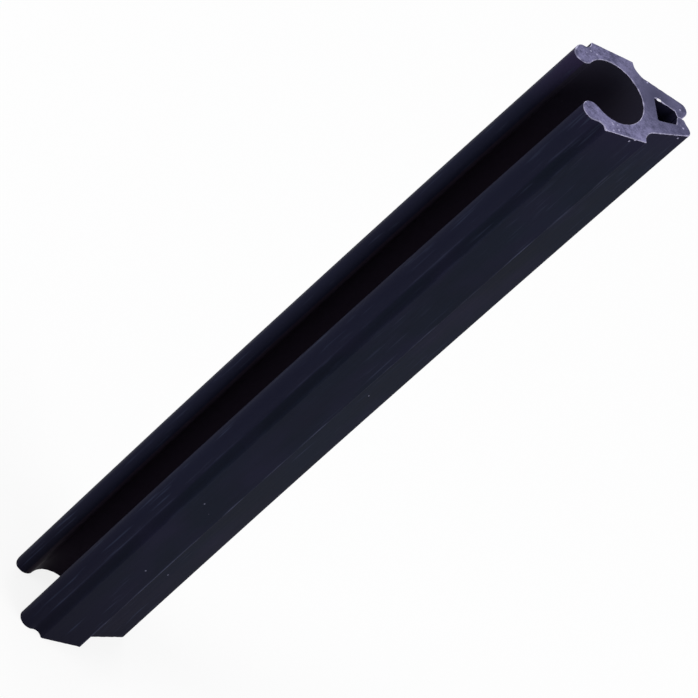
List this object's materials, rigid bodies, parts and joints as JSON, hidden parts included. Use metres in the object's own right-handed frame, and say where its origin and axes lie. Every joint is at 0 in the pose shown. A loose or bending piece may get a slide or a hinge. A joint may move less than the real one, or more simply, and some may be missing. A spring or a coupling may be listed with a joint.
{
  "type": "pick holder",
  "caption": "Straight extruded strip that clips onto a microphone stand's tube and holds guitar picks by their points between two sprung jaws.",
  "frame": {"origin": "on the axis of the clip's bore, which is the stand tube's axis, at the lower cut end", "axes": "+Z along the strip and the tube; +X from the clip to the pick jaws; the clip's mouth faces -X; the section is symmetric about y = 0, and the flank that faces -Y is the front"},
  "size_m": [0.0285, 0.023, 0.2032],
  "materials": {
    "black_vinyl": "semi-matte extruded skin with fine lines along the strip; sawn ends paler and matt"
  },
  "bodies": {
    "spine": {"spine": "black_vinyl"},
    "rear_clip_arm": {"rear_clip_arm": "black_vinyl"},
    "front_clip_arm": {"front_clip_arm": "black_vinyl"},
    "rear_jaw": {"rear_jaw": "black_vinyl"},
    "front_jaw": {"front_jaw": "black_vinyl"}
  },
  "joints": [
    {"name": "rear_arm_flex", "type": "hinge", "parent": "spine", "child": "rear_clip_arm", "pos_m": [0.0081, 0.00795, 0.1016], "axis": [0, 0, -1], "range_deg": [0, 12], "stiffness_Nm_per_rad": 2},
    {"name": "front_arm_flex", "type": "hinge", "parent": "spine", "child": "front_clip_arm", "pos_m": [0.0081, -0.00795, 0.1016], "axis": [0, 0, 1], "range_deg": [0, 12], "stiffness_Nm_per_rad": 2},
    {"name": "rear_jaw_flex", "type": "hinge", "parent": "spine", "child": "rear_jaw", "pos_m": [0.01251, 0.00616, 0.1016], "axis": [0, 0, 1], "range_deg": [0, 8], "stiffness_Nm_per_rad": 2},
    {"name": "front_jaw_flex", "type": "hinge", "parent": "spine", "child": "front_jaw", "pos_m": [0.01251, -0.00616, 0.1016], "axis": [0, 0, -1], "range_deg": [0, 8], "stiffness_Nm_per_rad": 2}
  ]
}
